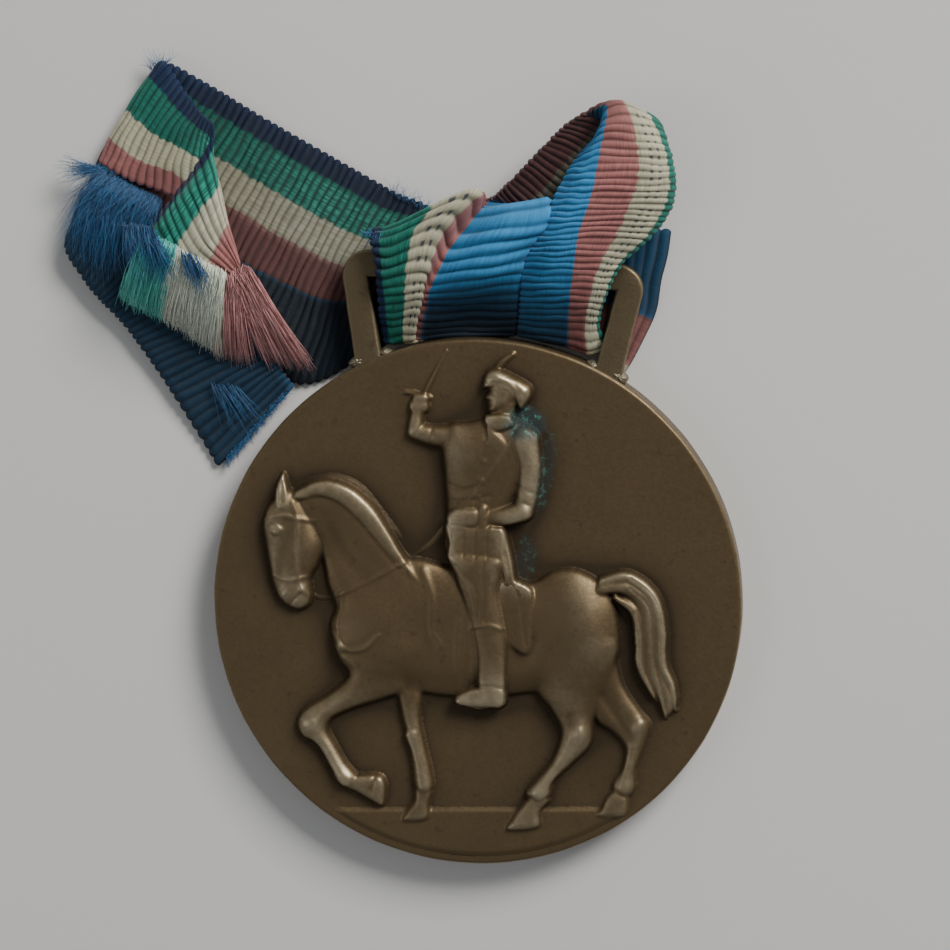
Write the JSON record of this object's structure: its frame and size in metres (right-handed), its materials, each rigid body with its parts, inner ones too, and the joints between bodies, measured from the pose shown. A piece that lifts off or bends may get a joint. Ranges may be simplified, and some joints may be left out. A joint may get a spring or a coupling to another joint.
{
  "type": "military service medal",
  "caption": "Round struck bronze medal with a mounted rider in relief, a trapezoid suspension bail and a worn striped ribbon laid through it.",
  "frame": {"origin": "centre of the disc on its flat reverse face, which rests on the table", "axes": "+Z out of the obverse with the relief, +Y from the disc towards the suspension bail, +X to the right of the upright obverse"},
  "size_m": [0.0416, 0.0474, 0.0046],
  "materials": {
    "patinated_bronze": "dark brown patina, polished on the high relief, verdigris in the recesses",
    "bail_bronze": "dull brown, handled bright on the edges",
    "braze": "small bright beads",
    "striped_ribbon": "ribbed silk weave in navy, green, cream, pink and wide blue stripes, faded",
    "green_thread": "loose silk warp threads",
    "cream_thread": "loose silk warp threads",
    "pink_thread": "loose silk warp threads",
    "blue_thread": "loose silk warp threads"
  },
  "bodies": {
    "medal": {"medal_disc": "patinated_bronze", "horse_relief": "patinated_bronze", "rider_relief": "patinated_bronze", "suspension_bail": "bail_bronze", "braze_joints": "braze"},
    "ribbon": {"ribbon_end_tail": "striped_ribbon", "ribbon_right_run": "striped_ribbon", "ribbon_loop_crown": "striped_ribbon", "ribbon_loop_return": "striped_ribbon", "ribbon_left_run": "striped_ribbon", "ribbon_back_band": "striped_ribbon", "ribbon_fold_flap": "striped_ribbon", "ribbon_turned_end": "striped_ribbon", "ribbon_torn_strip": "striped_ribbon", "green_warp_threads": "green_thread", "cream_warp_threads": "cream_thread", "pink_warp_threads": "pink_thread", "blue_warp_threads": "blue_thread"}
  },
  "joints": [
    {"name": "ribbon_swing", "type": "hinge", "parent": "medal", "child": "ribbon", "pos_m": [0, 0.0201, 0.0015], "axis": [1, 0, 0], "range_deg": [0, 70]}
  ]
}
